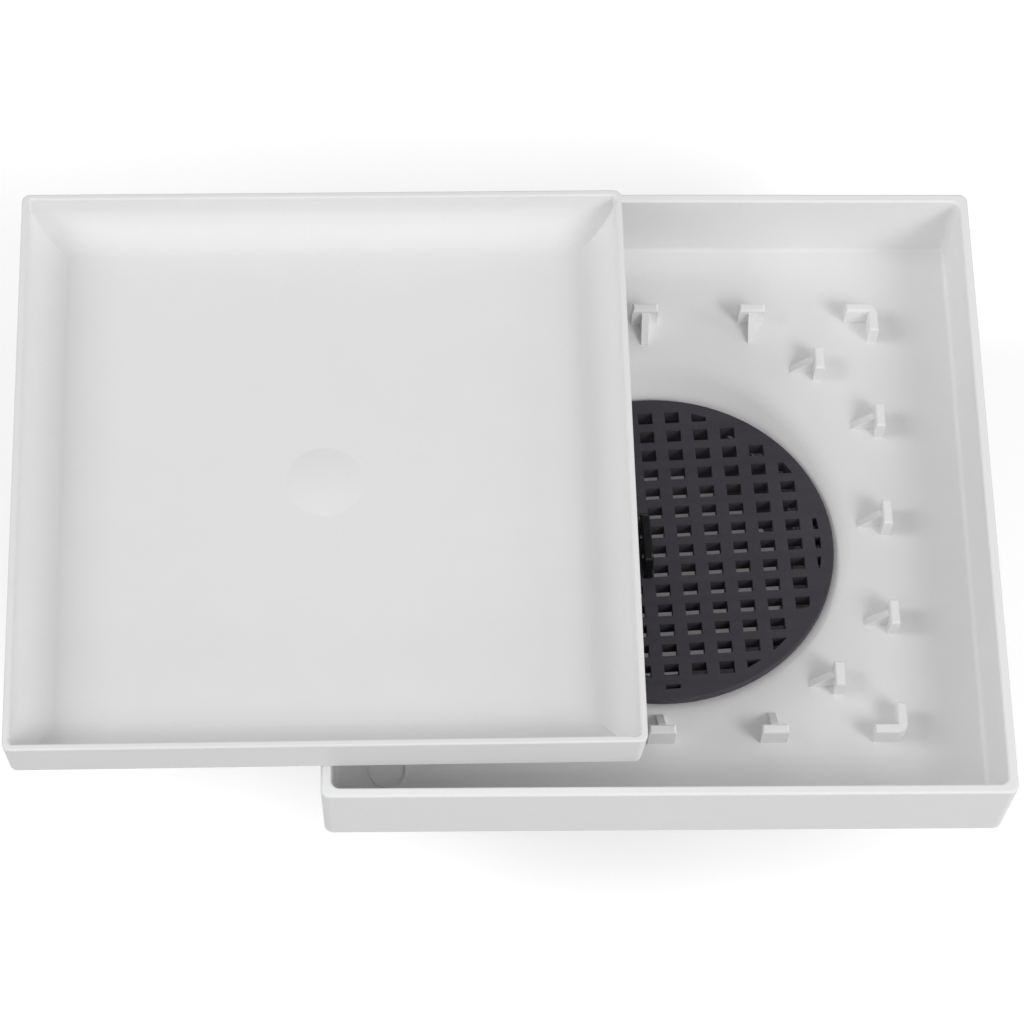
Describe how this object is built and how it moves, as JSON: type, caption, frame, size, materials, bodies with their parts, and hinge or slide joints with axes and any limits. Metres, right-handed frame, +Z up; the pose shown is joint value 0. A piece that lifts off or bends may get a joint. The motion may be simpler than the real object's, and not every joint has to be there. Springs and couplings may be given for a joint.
{
  "type": "floor drain",
  "caption": "Square white plastic floor drain: a base box with an outlet spigot and a round dark strainer, and a loose shallow tile tray lying half off its rim.",
  "frame": {"origin": "on the outlet's axis, at the lower end of the outlet spigot", "axes": "+Z up along the outlet axis, +X to the right and +Y to the back as the drain is pictured, both square to the base's walls"},
  "size_m": [0.218, 0.15, 0.0757],
  "materials": {
    "base_white": "white moulded plastic, satin, slightly grained inside",
    "tray_white": "white moulded plastic, satin",
    "grille_grey": "dark grey moulded plastic, matte",
    "tab_black": "black moulded plastic, glossy"
  },
  "bodies": {
    "root": {"drain_base": "base_white", "tile_tray": "tray_white", "strainer_grille": "grille_grey", "grille_pull_tab": "tab_black"}
  },
  "joints": []
}
